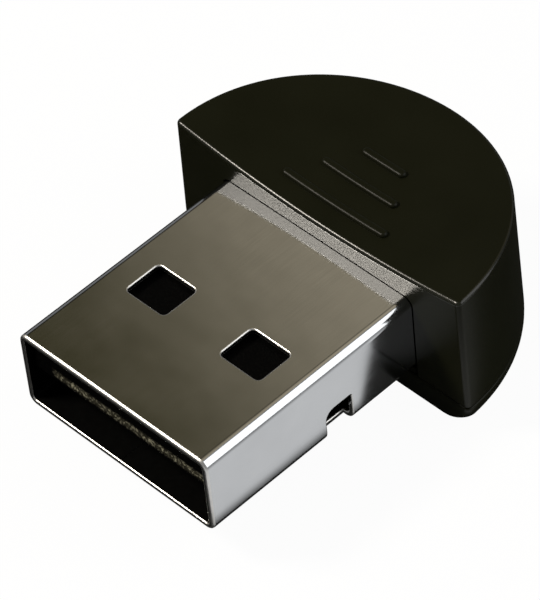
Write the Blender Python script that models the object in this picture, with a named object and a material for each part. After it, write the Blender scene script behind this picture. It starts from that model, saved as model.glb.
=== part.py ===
"""Small USB radio adapter: a folded steel USB A plug in a D-shaped plastic head.

The plug points along -Y and the thumb rest of the head faces +Z. X is across, and X = 0
is the middle of the plug and of the head. The head stands on Z = 0, and Y = 0 is halfway
from the mouth of the plug to the nose of the head. All sizes are in metres.
"""

from math import asin, cos, pi, radians, sin, sqrt, tan

import bmesh
import bpy
from mathutils import Matrix, Vector

MM = 0.001

# The plug
PLUG_WIDTH = 12.0 * MM
PLUG_HEIGHT = 4.5 * MM
PLUG_REACH = 12.9 * MM
PLUG_ABOVE_GROUND = 2.0 * MM
SHEET = 0.3 * MM
BEND_RADIUS = 0.5 * MM
SHELL_TAIL = 1.0 * MM
WINDOW_WIDTH = 2.5 * MM
WINDOW_LENGTH = 2.1 * MM
WINDOW_CORNER = 0.25 * MM
WINDOW_SPACING = 6.0 * MM
WINDOW_FROM_MOUTH = 5.0 * MM
NOTCH_FROM_MOUTH = 7.2 * MM
NOTCH_LENGTH = 1.6 * MM
NOTCH_HEIGHT = 1.75 * MM
NOTCH_DEPTH = 0.65 * MM
NOTCH_CORNER = 0.5 * MM
SEAM_GAP = 0.12 * MM
SEAM_KEY_LENGTH = 1.8 * MM
SEAM_KEY_NECK = 0.8 * MM
SEAM_KEY_HEAD = 1.3 * MM
SEAM_KEY_DEPTH = 0.9 * MM
SEAM_KEY_FROM_MOUTH = 9.6 * MM
LEG_LENGTH = 1.8 * MM
LEG_HEIGHT = 1.9 * MM
LEG_ABOVE_SHELL_BASE = 0.2 * MM

# The insulator and the contacts
FIT_GAP = 0.2 * MM
TONGUE_SETBACK = 0.35 * MM
TONGUE_THICKNESS = 1.75 * MM
TONGUE_CHAMFER = 0.3 * MM
SOCKET_DEPTH = 9.2 * MM
CONTACT_WIDTH = 1.0 * MM
CONTACT_THICKNESS = 0.25 * MM
CONTACT_PROUD = 0.08 * MM
CONTACT_INNER_PITCH = 2.0 * MM
CONTACT_OUTER_PITCH = 7.0 * MM
POWER_SETBACK = 1.1 * MM
DATA_SETBACK = 2.1 * MM
CONTACT_FOOT = 1.0 * MM
CONTACT_STEP = 0.55 * MM

# The head
HEAD_WIDTH = 18.3 * MM
HEAD_DEPTH = 9.3 * MM
ARC_BEHIND_FACE = 0.15 * MM
HEAD_CORNER = 0.25 * MM
BASE_CORNER = 0.9 * MM
CAVITY_CORNER = 0.2 * MM
DRAFT = radians(1.83)
WALL = 1.0 * MM
TOP_WALL = 0.9 * MM
FLOOR = 1.0 * MM
PARTING_HEIGHT = 1.5 * MM
PARTING_GAP = 0.2 * MM
DISH_LOW_POINT = 7.55 * MM
DISH_RADIUS = 55.0 * MM
DISH_RISE = radians(2.65)
RIM_FILLET = 0.2 * MM
FACE_FOOT_FILLET = 0.3 * MM
SLOT_CORNER = 0.6 * MM
SILL_SETBACK = 0.1 * MM
HUB_FROM_FACE = 3.7 * MM
HUB_SHARE = 0.5

# The grip ribs on the thumb rest
RIB_WIDTH = 0.45 * MM
RIB_PROUD = 0.2 * MM
RIB_SPACING = 1.62 * MM
RIB_FROM_FACE = 1.35 * MM
RIB_LENGTHS = (6.5 * MM, 4.65 * MM, 2.65 * MM)
RIB_SHOULDER = 0.07 * MM
RIB_CROWN = 0.16 * MM
RIB_CROWN_SHARE = 0.7
RIB_RIDGE_SHARE = 0.35

# What holds the two covers and the board together
LIP_HEIGHT = 0.9 * MM
LIP_THICKNESS = 0.6 * MM
COVER_GAP = 0.3 * MM
PIN_RADIUS = 0.45 * MM
PIN_SHOULDER_RADIUS = 1.05 * MM
PIN_SHARE_OF_HALF_WIDTH = 0.55
PIN_SHARE_OF_DEPTH = 0.48
PIN_REACH = 1.5 * MM
BOSS_WALL = 0.35 * MM
BORE_GAP = 0.25 * MM

# The board
BOARD_THICKNESS = 0.8 * MM
BOARD_HEIGHT = 2.75 * MM
BOARD_EDGE_GAP = 0.4 * MM
SEAT_GAP = 0.25 * MM
SOLDER_GAP = 0.15 * MM

# The soldered parts, each size as across, along and up
PART_GAP = 0.3 * MM
CHIP_SIZE = (4.0 * MM, 4.0 * MM, 0.85 * MM)
CHIP_FROM_BOARD_FRONT = 0.1 * MM
CHIP_CHAMFER = 0.1 * MM
DOT_RADIUS = 0.15 * MM
DOT_DEPTH = 0.05 * MM
MEMORY_SIZE = (2.0 * MM, 1.6 * MM, 0.75 * MM)
CRYSTAL_SIZE = (2.0 * MM, 1.6 * MM, 0.6 * MM)
CRYSTAL_CORNER = 0.2 * MM
CRYSTAL_BASE_SHARE = 0.6
REGULATOR_SIZE = (1.2 * MM, 1.6 * MM, 0.6 * MM)
ANTENNA_SIZE = (3.2 * MM, 1.2 * MM, 0.8 * MM)
ANTENNA_FROM_NOSE = 2.3 * MM
MATCHING_SIZE = (1.0 * MM, 0.5 * MM, 0.5 * MM)
MATCHING_SETBACK = 0.2 * MM
CAPACITOR_SIZE = (0.5 * MM, 1.0 * MM, 0.5 * MM)
CAPACITOR_SHIFT = 1.2 * MM
RESISTOR_SIZE = (0.5 * MM, 1.0 * MM, 0.35 * MM)
RESISTOR_SPACING = 8.4 * MM
RESISTOR_FROM_FACE = 1.95 * MM
BEAD_FROM_MIDDLE = 4.75 * MM
END_CAP_LENGTH = 0.25 * MM
END_CAP_PROUD = 0.03 * MM

# How finely the round outlines are divided
NOSE_STEPS = 40
CORNER_STEPS = 4
FRONT_STEPS = 24
FILLET_STEPS = 4
BASE_STEPS = 6
DISH_RINGS = 5
RIB_END_STEPS = 8

# Places that follow from the sizes above
MOUTH_Y = -(PLUG_REACH + HEAD_DEPTH) / 2
FACE_Y = MOUTH_Y + PLUG_REACH
ARC_Y = FACE_Y + ARC_BEHIND_FACE
ARC_DEPTH = HEAD_DEPTH - ARC_BEHIND_FACE
BASE_RIM = PARTING_HEIGHT - PARTING_GAP / 2
SHELL_END_Y = FACE_Y + SHELL_TAIL
SHELL_BASE = PLUG_ABOVE_GROUND
SHELL_TOP = PLUG_ABOVE_GROUND + PLUG_HEIGHT
SHELL_MIDDLE = PLUG_ABOVE_GROUND + PLUG_HEIGHT / 2
BOARD_TOP = BOARD_HEIGHT + BOARD_THICKNESS
BOARD_FRONT_Y = FACE_Y + WALL + COVER_GAP
PIN_X = PIN_SHARE_OF_HALF_WIDTH * HEAD_WIDTH / 2
PIN_Y = FACE_Y + PIN_SHARE_OF_DEPTH * HEAD_DEPTH
BOSS_RADIUS = PIN_RADIUS + BORE_GAP + BOSS_WALL
FEET_END = SHELL_TAIL + FIT_GAP + CONTACT_STEP + CONTACT_FOOT
ROW_FROM_FACE = FEET_END + PART_GAP + MEMORY_SIZE[1] / 2
ROW_X = PIN_X - BOSS_RADIUS - PART_GAP - MEMORY_SIZE[0] / 2
CHIP_FROM_FACE = WALL + COVER_GAP + CHIP_FROM_BOARD_FRONT + CHIP_SIZE[1] / 2
ANTENNA_FROM_FACE = HEAD_DEPTH - ANTENNA_FROM_NOSE


def clear_scene():
    for old in list(bpy.data.objects):
        bpy.data.objects.remove(old, do_unlink=True)


def material(name, colour, roughness, metallic=0.0):
    """A Principled BSDF with one colour."""
    made = bpy.data.materials.new(name)
    made.use_nodes = True
    shader = made.node_tree.nodes["Principled BSDF"]
    shader.inputs["Base Color"].default_value = (*colour, 1.0)
    shader.inputs["Roughness"].default_value = roughness
    shader.inputs["Metallic"].default_value = metallic
    return made


def finish(bm, name, finish_material=None, sharp_above=35.0):
    """Turns a bmesh into an object with its faces outwards and its round parts smooth."""
    bmesh.ops.recalc_face_normals(bm, faces=bm.faces)
    mesh = bpy.data.meshes.new(name)
    bm.to_mesh(mesh)
    bm.free()
    mesh.shade_smooth()
    mesh.set_sharp_from_angle(angle=radians(sharp_above))
    if finish_material:
        mesh.materials.append(finish_material)
    made = bpy.data.objects.new(name, mesh)
    bpy.context.scene.collection.objects.link(made)
    return made


def combine(target, helper, operation):
    """Cuts a helper from the target, or joins it on, with a Boolean that stays live."""
    helper.hide_render = True
    helper.display_type = "WIRE"
    modifier = target.modifiers.new(helper.name, "BOOLEAN")
    modifier.operation = operation
    modifier.object = helper
    modifier.solver = "EXACT"


def box(low, high):
    """A bmesh box between two corners."""
    bm = bmesh.new()
    size = Vector(high) - Vector(low)
    middle = (Vector(high) + Vector(low)) / 2
    place = Matrix.Translation(middle) @ Matrix.Diagonal((*size, 1.0))
    bmesh.ops.create_cube(bm, size=1.0, matrix=place)
    return bm


def extruded(outline, direction):
    """A bmesh prism of a closed outline of points, drawn out along a direction."""
    bm = bmesh.new()
    face = bm.faces.new([bm.verts.new(point) for point in outline])
    grown = bmesh.ops.extrude_face_region(bm, geom=[face])["geom"]
    moved = [item for item in grown if isinstance(item, bmesh.types.BMVert)]
    bmesh.ops.translate(bm, verts=moved, vec=direction)
    return bm


def lofted(rings):
    """A bmesh skin through closed rings of as many points, with a fan at each end."""
    bm = bmesh.new()
    rows = [[bm.verts.new(point) for point in ring] for ring in rings]
    count = len(rows[0])
    for near, far in zip(rows, rows[1:]):
        for i in range(count):
            j = (i + 1) % count
            bm.faces.new((near[i], near[j], far[j], far[i]))
    for row in (rows[0], rows[-1]):
        hub = bm.verts.new(sum((vert.co for vert in row), Vector()) / count)
        for i in range(count):
            bm.faces.new((row[i], row[(i + 1) % count], hub))
    return bm


def arc(centre, radius, start, end, steps):
    """Points on a circular arc in a plane, both ends included."""
    turns = [start + (end - start) * i / steps for i in range(steps + 1)]
    return [(centre[0] + radius * cos(t), centre[1] + radius * sin(t)) for t in turns]


def rounded_rectangle(width, height, radius, steps):
    """A closed outline about the origin, counterclockwise, with round corners."""
    x = width / 2 - radius
    y = height / 2 - radius
    outline = []
    for corner, (sx, sy) in enumerate(((1, -1), (1, 1), (-1, 1), (-1, -1))):
        start = (corner - 1) * pi / 2
        outline += arc((sx * x, sy * y), radius, start, start + pi / 2, steps)
    return outline


def head_outline(inset, corner, face_inset=None):
    """The D of the head seen from above: flat face, two corners, elliptical nose."""
    side = HEAD_WIDTH / 2 - inset
    depth = ARC_DEPTH - inset
    face = FACE_Y + (inset if face_inset is None else face_inset)
    nose_start = asin((face + corner - ARC_Y) / depth)
    half_width = side / cos(nose_start)
    nose = []
    for i in range(1, NOSE_STEPS):
        turn = nose_start + (pi - 2 * nose_start) * i / NOSE_STEPS
        nose.append((half_width * cos(turn), ARC_Y + depth * sin(turn)))
    right = arc((side - corner, face + corner), corner, -pi / 2, 0, CORNER_STEPS)
    left = [(-x, y) for x, y in reversed(right)]
    front = []
    for i in range(1, FRONT_STEPS):
        front.append(((side - corner) * (2 * i / FRONT_STEPS - 1), face))
    return right + nose + left + front


def drawn_in(height):
    """How far the drafted curved wall of the upper cover has moved in at a height."""
    return max(height - PARTING_HEIGHT, 0.0) * tan(DRAFT)


def base_corner(height):
    """The radius of the two upright corners of the base, which grows towards the ground."""
    return HEAD_CORNER + (BASE_CORNER - HEAD_CORNER) * (1 - height / BASE_RIM)


def face_edge(height):
    """How far the small round lower edge of the face has moved in at a height."""
    below = max(FACE_FOOT_FILLET - height, 0.0)
    return FACE_FOOT_FILLET - sqrt(FACE_FOOT_FILLET**2 - below**2)


def dish_height(x, y):
    """The thumb rest: a shallow scoop along Y that rises towards the nose."""
    bow = DISH_RADIUS - sqrt(DISH_RADIUS**2 - x**2)
    return DISH_LOW_POINT + bow + (y - FACE_Y) * tan(DISH_RISE)


def shrunk(outline, share):
    """An outline drawn in towards a point behind the middle of the face."""
    centre_y = FACE_Y + HUB_FROM_FACE
    return [(x * share, centre_y + (y - centre_y) * share) for x, y in outline]


def make_top_cover(plastic):
    """The upper cover: an upright face, a drafted wall, a scooped top, open below."""
    rim_inset = drawn_in(DISH_LOW_POINT)
    rings = []
    ceiling = head_outline(rim_inset + WALL, CAVITY_CORNER)
    for i in range(1, DISH_RINGS + 1):
        ring = shrunk(ceiling, i / DISH_RINGS)
        rings.append([(x, y, dish_height(x, y) - TOP_WALL) for x, y in ring])
    wall_foot = PARTING_HEIGHT + PARTING_GAP / 2
    inner = head_outline(WALL, CAVITY_CORNER)
    rings.append([(x, y, wall_foot) for x, y in inner])
    outer = head_outline(0.0, HEAD_CORNER)
    rings.append([(x, y, wall_foot) for x, y in outer])
    for i in range(FILLET_STEPS + 1):
        turn = pi / 2 * i / FILLET_STEPS
        round_inset = RIM_FILLET * (1 - cos(turn))
        drop = RIM_FILLET * (1 - sin(turn))
        ring = head_outline(rim_inset + round_inset, HEAD_CORNER, round_inset)
        rings.append([(x, y, dish_height(x, y) - drop) for x, y in ring])
    top = head_outline(rim_inset + RIM_FILLET, HEAD_CORNER, RIM_FILLET)
    for i in range(DISH_RINGS - 1, 0, -1):
        ring = shrunk(top, i / DISH_RINGS)
        rings.append([(x, y, dish_height(x, y)) for x, y in ring])
    cover = finish(lofted(rings), "top_cover", plastic)
    for side in (-1, 1):
        combine(cover, boss_blank(side), "UNION")
    for number, length in enumerate(RIB_LENGTHS):
        combine(cover, grip_rib(number, length), "UNION")
    combine(cover, slot_cutter(), "DIFFERENCE")
    for side in (-1, 1):
        combine(cover, boss_bore(side), "DIFFERENCE")
    return cover


def grip_rib(number, length):
    """One raised rib: a bar across the thumb rest with a round back and round ends."""
    middle = FACE_Y + RIB_FROM_FACE + number * RIB_SPACING
    radius = RIB_WIDTH / 2
    run = length / 2 - radius
    right = arc((run, 0.0), radius, -pi / 2, pi / 2, RIB_END_STEPS)
    left = arc((-run, 0.0), radius, pi / 2, 3 * pi / 2, RIB_END_STEPS)
    levels = (
        (1.0, -RIB_PROUD), (1.0, RIB_SHOULDER),
        (RIB_CROWN_SHARE, RIB_CROWN), (RIB_RIDGE_SHARE, RIB_PROUD),
    )
    rings = []
    for share, lift in levels:
        ring = []
        for centre_x, points in ((run, right), (-run, left)):
            for x, y in points:
                px = centre_x + (x - centre_x) * share
                py = middle + y * share
                ring.append((px, py, dish_height(px, py) + lift))
        rings.append(ring)
    return finish(lofted(rings), f"rib_{number + 1}_shape")


def slot_cutter():
    """The opening for the plug, through the face and on over the tail of the shell."""
    half = PLUG_WIDTH / 2 + FIT_GAP
    top = SHELL_TOP + FIT_GAP
    below = PARTING_HEIGHT - FLOOR
    outline = [(half, below)]
    outline += arc((half - SLOT_CORNER, top - SLOT_CORNER), SLOT_CORNER, 0, pi / 2, 4)
    outline += arc((SLOT_CORNER - half, top - SLOT_CORNER), SLOT_CORNER, pi / 2, pi, 4)
    outline.append((-half, below))
    start = FACE_Y - WALL
    run = WALL + SHELL_TAIL + LEG_LENGTH + FIT_GAP
    points = [(x, start, z) for x, z in outline]
    return finish(extruded(points, (0, run, 0)), "slot_cutter")


def boss_blank(side):
    """The outside of a boss under the ceiling that takes a pin of the base."""
    x = side * PIN_X
    low = BOARD_TOP + SEAT_GAP
    high = dish_height(x, PIN_Y) - TOP_WALL / 2
    return cylinder(f"boss_{side}_shape", BOSS_RADIUS, (x, PIN_Y), low, high)


def boss_bore(side):
    """The blind bore of a boss."""
    low = BOARD_TOP
    high = BOARD_TOP + PIN_REACH + BORE_GAP
    radius = PIN_RADIUS + BORE_GAP
    return cylinder(f"boss_{side}_bore", radius, (side * PIN_X, PIN_Y), low, high)


def cylinder(name, radius, centre, low, high, finish_material=None, sides=20):
    bm = bmesh.new()
    place = Matrix.Translation((*centre, (low + high) / 2))
    bmesh.ops.create_cone(
        bm, cap_ends=True, segments=sides, radius1=radius, radius2=radius,
        depth=high - low, matrix=place,
    )
    return finish(bm, name, finish_material)


def make_bottom_cover(plastic):
    """The base: a tray whose curved wall is round below, with a lip and two pinned posts."""
    lip_inset = WALL + COVER_GAP
    lip_inside = head_outline(lip_inset + LIP_THICKNESS, CAVITY_CORNER)
    lip_outside = head_outline(lip_inset, CAVITY_CORNER)
    lip_top = PARTING_HEIGHT + LIP_HEIGHT
    rings = [[(x, y, FLOOR) for x, y in shrunk(lip_inside, HUB_SHARE)]]
    rings.append([(x, y, FLOOR) for x, y in lip_inside])
    rings.append([(x, y, lip_top) for x, y in lip_inside])
    rings.append([(x, y, lip_top) for x, y in lip_outside])
    rings.append([(x, y, BASE_RIM) for x, y in lip_outside])
    for i in range(BASE_STEPS + 1):
        turn = pi / 2 * i / BASE_STEPS
        height = BASE_RIM * (1 - sin(turn))
        inset = BASE_RIM * (1 - cos(turn))
        ring = head_outline(inset, base_corner(height), face_edge(height))
        rings.append([(x, y, height) for x, y in ring])
    rings.append([(x, y, 0.0) for x, y in shrunk(ring, HUB_SHARE)])
    cover = finish(lofted(rings), "bottom_cover", plastic)
    combine(cover, lip_gate(), "DIFFERENCE")
    combine(cover, sill(), "UNION")
    for side in (-1, 1):
        centre = (side * PIN_X, PIN_Y)
        shoulder_top = BOARD_HEIGHT - SEAT_GAP
        post = cylinder(f"post_{side}_shape", PIN_SHOULDER_RADIUS, centre, FLOOR / 2, shoulder_top)
        combine(cover, post, "UNION")
        pin_top = BOARD_TOP + PIN_REACH
        pin = cylinder(f"pin_{side}_shape", PIN_RADIUS, centre, FLOOR / 2, pin_top, sides=16)
        combine(cover, pin, "UNION")
    return cover


def lip_gate():
    """Cuts the lip away where the plug passes over it."""
    half = PLUG_WIDTH / 2 + FIT_GAP
    low = (-half, FACE_Y - WALL, BASE_RIM)
    high = (half, FACE_Y + WALL + COVER_GAP + 2 * LIP_THICKNESS, BOARD_HEIGHT)
    return finish(box(low, high), "lip_gate")


def sill():
    """A low step of the base wall that closes the slot under the plug."""
    half = PLUG_WIDTH / 2 - FIT_GAP
    low = (-half, FACE_Y + SILL_SETBACK, FLOOR)
    high = (half, FACE_Y + WALL, PLUG_ABOVE_GROUND - FIT_GAP)
    return finish(box(low, high), "sill_shape")


def make_plug_shell(steel):
    """The shell: one sheet folded to a rectangular tube, with its seam underneath."""
    outer = rounded_rectangle(PLUG_WIDTH, PLUG_HEIGHT, BEND_RADIUS, 5)
    inner = rounded_rectangle(
        PLUG_WIDTH - 2 * SHEET, PLUG_HEIGHT - 2 * SHEET, BEND_RADIUS - SHEET, 5
    )
    bm = bmesh.new()
    loops = []
    for outline, y in ((outer, MOUTH_Y), (outer, SHELL_END_Y), (inner, SHELL_END_Y), (inner, MOUTH_Y)):
        loops.append([bm.verts.new((x, y, SHELL_MIDDLE + z)) for x, z in outline])
    for near, far in zip(loops, loops[1:] + loops[:1]):
        for i in range(len(outline)):
            j = (i + 1) % len(outline)
            bm.faces.new((near[i], near[j], far[j], far[i]))
    shell = finish(bm, "plug_shell", steel, sharp_above=30.0)
    for side in (-1, 1):
        combine(shell, shell_leg(side), "UNION")
        combine(shell, window_cutter(side), "DIFFERENCE")
        combine(shell, notch_cutter(side), "DIFFERENCE")
    combine(shell, seam_cutter(), "DIFFERENCE")
    return shell


def window_cutter(side):
    """One cutter for the two windows of a side, through the top and the base sheet."""
    outline = rounded_rectangle(WINDOW_WIDTH, WINDOW_LENGTH, WINDOW_CORNER, 3)
    x = side * WINDOW_SPACING / 2
    y = MOUTH_Y + WINDOW_FROM_MOUTH + WINDOW_LENGTH / 2
    points = [(x + px, y + py, SHELL_BASE - SHEET) for px, py in outline]
    return finish(extruded(points, (0, 0, PLUG_HEIGHT + 2 * SHEET)), f"window_{side}_cutter")


def notch_cutter(side):
    """The notch in the lower edge of a side wall, with one large round corner."""
    start = MOUTH_Y + NOTCH_FROM_MOUTH
    end = start + NOTCH_LENGTH
    top = SHELL_BASE + NOTCH_HEIGHT
    low = SHELL_BASE - SHEET
    small = NOTCH_CORNER / 4
    outline = [(end, low)]
    outline += arc((end - small, top - small), small, 0, pi / 2, 3)
    outline += arc((start + NOTCH_CORNER, top - NOTCH_CORNER), NOTCH_CORNER, pi / 2, pi, 5)
    outline.append((start, low))
    inner = side * (PLUG_WIDTH / 2 - NOTCH_DEPTH)
    points = [(inner, y, z) for y, z in outline]
    return finish(extruded(points, (side * (NOTCH_DEPTH + SHEET), 0, 0)), f"notch_{side}_cutter")


def seam_cutter():
    """The seam along the underside, which runs round one dovetail key."""
    half = SEAM_GAP / 2
    start = MOUTH_Y + SEAM_KEY_FROM_MOUTH
    middle = start + SEAM_KEY_LENGTH / 2
    neck = SEAM_KEY_NECK / 2
    head = SEAM_KEY_HEAD / 2
    route = [
        (0.0, MOUTH_Y - SHEET), (0.0, middle - neck), (SEAM_KEY_DEPTH, middle - head),
        (SEAM_KEY_DEPTH, middle + head), (0.0, middle + neck), (0.0, SHELL_END_Y + SHEET),
    ]
    left = [offset_point(route, i, half) for i in range(len(route))]
    right = [offset_point(route, i, -half) for i in range(len(route))]
    points = [(x, y, SHELL_BASE - SHEET) for x, y in left + right[::-1]]
    return finish(extruded(points, (0, 0, 2.5 * SHEET)), "seam_cutter")


def offset_point(route, index, distance):
    """A corner of a route moved sideways, so that both its edges keep the distance."""
    here = Vector(route[index])
    before = here - Vector(route[max(index - 1, 0)])
    after = Vector(route[min(index + 1, len(route) - 1)]) - here
    normals = []
    for run in (before, after):
        if run.length > 0:
            run.normalize()
            normals.append(Vector((-run.y, run.x)))
    mitre = sum(normals, Vector((0.0, 0.0))).normalized()
    moved = here + mitre * (distance / mitre.dot(normals[0]))
    return (moved.x, moved.y)


def shell_leg(side):
    """A leg at the tail of a side wall, which is soldered in a notch of the board."""
    inner = PLUG_WIDTH / 2 - SHEET
    edges = sorted((side * inner, side * PLUG_WIDTH / 2))
    base = SHELL_BASE + BEND_RADIUS / 2 + LEG_ABOVE_SHELL_BASE
    low = (edges[0], SHELL_END_Y - SHEET, base)
    high = (edges[1], SHELL_END_Y + LEG_LENGTH, base + LEG_HEIGHT)
    bm = box(low, high)
    far = [edge for edge in bm.edges if all(v.co.y > SHELL_END_Y for v in edge.verts)]
    ends = [edge for edge in far if abs(edge.verts[0].co.z - edge.verts[1].co.z) < SHEET / 10]
    bmesh.ops.bevel(
        bm, geom=ends, offset=SHEET, segments=3, profile=0.5, affect="EDGES", material=-1
    )
    return finish(bm, f"leg_{side}_shape")


def make_insulator(plastic):
    """The insulator: a grooved tongue under the top sheet and the block behind it."""
    half = PLUG_WIDTH / 2 - SHEET - FIT_GAP
    top = SHELL_TOP - SHEET - FIT_GAP
    under = top - TONGUE_THICKNESS
    base = SHELL_BASE + SHEET + FIT_GAP
    front = MOUTH_Y + TONGUE_SETBACK
    step = MOUTH_Y + SOCKET_DEPTH
    back = SHELL_END_Y - FIT_GAP
    cut = TONGUE_CHAMFER
    side_view = [
        (front, under + cut / 2), (front + cut / 2, under), (step, under), (step, base + cut),
        (step + cut, base), (back, base), (back, top), (front + cut, top), (front, top - cut),
    ]
    points = [(-half, y, z) for y, z in side_view]
    body = finish(extruded(points, (2 * half, 0, 0)), "plug_insulator", plastic)
    for name, x, setback in contact_places():
        low_z = under + CONTACT_PROUD - CONTACT_THICKNESS
        groove_half = CONTACT_WIDTH / 2 + FIT_GAP
        ceiling = under - CONTACT_PROUD + CONTACT_THICKNESS + FIT_GAP
        low = (x - groove_half, MOUTH_Y + setback - 2 * FIT_GAP, low_z - FIT_GAP)
        high = (x + groove_half, back + SHEET, ceiling)
        combine(body, finish(box(low, high), f"groove_{name}"), "DIFFERENCE")
    return body


def contact_places():
    """Each contact's name, place across the plug and setback from the mouth."""
    outer = CONTACT_OUTER_PITCH / 2
    inner = CONTACT_INNER_PITCH / 2
    return (
        ("contact_vbus", outer, POWER_SETBACK),
        ("contact_data_minus", inner, DATA_SETBACK),
        ("contact_data_plus", -inner, DATA_SETBACK),
        ("contact_ground", -outer, POWER_SETBACK),
    )


def make_contact(name, x, setback, gold):
    """A stamped strip in its groove, stepped down to a foot on the board."""
    under = SHELL_TOP - SHEET - FIT_GAP - TONGUE_THICKNESS
    low = under - CONTACT_PROUD
    foot = BOARD_TOP + SOLDER_GAP
    front = MOUTH_Y + setback
    bend = SHELL_END_Y + FIT_GAP
    landing = bend + CONTACT_STEP
    end = landing + CONTACT_FOOT
    half = CONTACT_THICKNESS / 2
    route = [(front, low + half), (bend, low + half), (landing, foot + half), (end, foot + half)]
    upper = [offset_point(route, i, half) for i in range(len(route))]
    lower = [offset_point(route, i, -half) for i in range(len(route))]
    points = [(x - CONTACT_WIDTH / 2, y, z) for y, z in upper + lower[::-1]]
    return finish(extruded(points, (CONTACT_WIDTH, 0, 0)), name, gold)


def make_board(laminate):
    """The D-shaped board, with two pin holes and two notches for the shell's legs."""
    inset = WALL + BOARD_EDGE_GAP + drawn_in(BOARD_TOP)
    outline = head_outline(inset, CAVITY_CORNER)
    kept = [(x, max(y, BOARD_FRONT_Y), BOARD_HEIGHT) for x, y in outline]
    board = finish(extruded(kept, (0, 0, BOARD_THICKNESS)), "circuit_board", laminate)
    for side in (-1, 1):
        centre = (side * PIN_X, PIN_Y)
        radius = PIN_RADIUS + BORE_GAP
        hole = cylinder(f"hole_{side}_cutter", radius, centre, BOARD_HEIGHT - SHEET, BOARD_TOP + SHEET)
        combine(board, hole, "DIFFERENCE")
        edges = sorted((side * (PLUG_WIDTH / 2 - SHEET - SEAT_GAP), side * (PLUG_WIDTH / 2 + SEAT_GAP)))
        low = (edges[0], BOARD_FRONT_Y - SHEET, BOARD_HEIGHT - SHEET)
        high = (edges[1], SHELL_END_Y + LEG_LENGTH + SEAT_GAP, BOARD_TOP + SHEET)
        combine(board, finish(box(low, high), f"leg_notch_{side}_cutter"), "DIFFERENCE")
    return board


def on_board(place, size, side):
    """The low and high corners of a block soldered to the top (1) or the underside (-1)."""
    x, from_face = place
    width, length, height = size
    seat = BOARD_TOP + SOLDER_GAP if side > 0 else BOARD_HEIGHT - SOLDER_GAP
    far = seat + side * height
    low = (x - width / 2, FACE_Y + from_face - length / 2, min(seat, far))
    high = (x + width / 2, FACE_Y + from_face + length / 2, max(seat, far))
    return low, high


def package_block(low, high, side):
    """A moulded block whose edges are chamfered on the side turned away from the board."""
    bm = box(low, high)
    outer = high[2] if side > 0 else low[2]
    near = SHEET / 10
    rim = [e for e in bm.edges if all(abs(v.co.z - outer) < near for v in e.verts)]
    bmesh.ops.bevel(
        bm, geom=rim, offset=CHIP_CHAMFER, segments=1, profile=0.5, affect="EDGES", material=-1
    )
    return bm


def make_chip(name, place, size, side, resin):
    """A moulded chip package with a dot pressed in at its first pad."""
    low, high = on_board(place, size, side)
    chip = finish(package_block(low, high, side), name, resin)
    outer = high[2] if side > 0 else low[2]
    centre = (low[0] + 3 * DOT_RADIUS, low[1] + 3 * DOT_RADIUS)
    dot_low, dot_high = outer - DOT_DEPTH, outer + DOT_DEPTH
    dot = cylinder(f"{name}_dot", DOT_RADIUS, centre, dot_low, dot_high, sides=12)
    combine(chip, dot, "DIFFERENCE")


def make_crystal(place, lid_metal):
    """The crystal: a base with a welded metal lid a little smaller than it."""
    low, high = on_board(place, CRYSTAL_SIZE, 1)
    width, length, height = CRYSTAL_SIZE
    shoulder = low[2] + CRYSTAL_BASE_SHARE * height
    levels = (
        (0.0, low[2]), (0.0, shoulder), (CHIP_CHAMFER, shoulder),
        (CHIP_CHAMFER, high[2] - CHIP_CHAMFER / 2), (1.5 * CHIP_CHAMFER, high[2]),
    )
    rings = []
    for inset, z in levels:
        outline = rounded_rectangle(width - 2 * inset, length - 2 * inset, CRYSTAL_CORNER, 3)
        rings.append([(low[0] + width / 2 + x, low[1] + length / 2 + y, z) for x, y in outline])
    finish(lofted(rings), "crystal", lid_metal)


def make_end_capped(name, place, size, side, ceramic):
    """A block with a metal cap on each end of its longer side, a little proud of it."""
    low, high = on_board(place, size, side)
    along = 0 if size[0] > size[1] else 1
    across = 1 - along
    far = size[along] / 2
    cap = far - END_CAP_LENGTH
    soft = far - END_CAP_PROUD
    middle = Vector(low).lerp(Vector(high), 0.5)
    rings = []
    ends = ((-far, END_CAP_PROUD), (-soft, 0.0), (-cap, 0.0), (-cap, END_CAP_PROUD))
    for run, inset in ends + tuple((-run, inset) for run, inset in reversed(ends)):
        ring = []
        for sx, sz in ((-1, -1), (1, -1), (1, 1), (-1, 1)):
            offset = Vector((0.0, 0.0, sz * (size[2] / 2 - inset)))
            offset[along] = run
            offset[across] = sx * (size[across] / 2 - inset)
            ring.append(middle + offset)
        rings.append(ring)
    finish(lofted(rings), name, ceramic)


def populate_top():
    """The parts on the upper face of the board, behind the feet of the contacts."""
    resin = bpy.data.materials["black_epoxy_resin"]
    make_chip("memory_chip", (ROW_X, ROW_FROM_FACE), MEMORY_SIZE, 1, resin)
    make_chip("voltage_regulator", (0.0, ROW_FROM_FACE), REGULATOR_SIZE, 1, resin)
    lid_metal = material("crystal_lid_metal", (0.60, 0.58, 0.52), 0.3, 1.0)
    make_crystal((-ROW_X, ROW_FROM_FACE), lid_metal)
    white_ceramic = material("white_ceramic", (0.75, 0.75, 0.72), 0.5)
    make_end_capped("chip_antenna", (0.0, ANTENNA_FROM_FACE), ANTENNA_SIZE, 1, white_ceramic)
    beside = (ANTENNA_SIZE[0] + MATCHING_SIZE[0]) / 2 + PART_GAP
    level = ANTENNA_FROM_FACE - MATCHING_SETBACK
    ferrite = material("dark_ferrite", (0.05, 0.05, 0.05), 0.6)
    make_end_capped("matching_inductor", (-beside, level), MATCHING_SIZE, 1, ferrite)
    brown_ceramic = bpy.data.materials["brown_ceramic"]
    make_end_capped("matching_capacitor", (beside, level), MATCHING_SIZE, 1, brown_ceramic)
    bead_place = (BEAD_FROM_MIDDLE, RESISTOR_FROM_FACE)
    make_end_capped("ferrite_bead", bead_place, CAPACITOR_SIZE, 1, ferrite)


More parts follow.
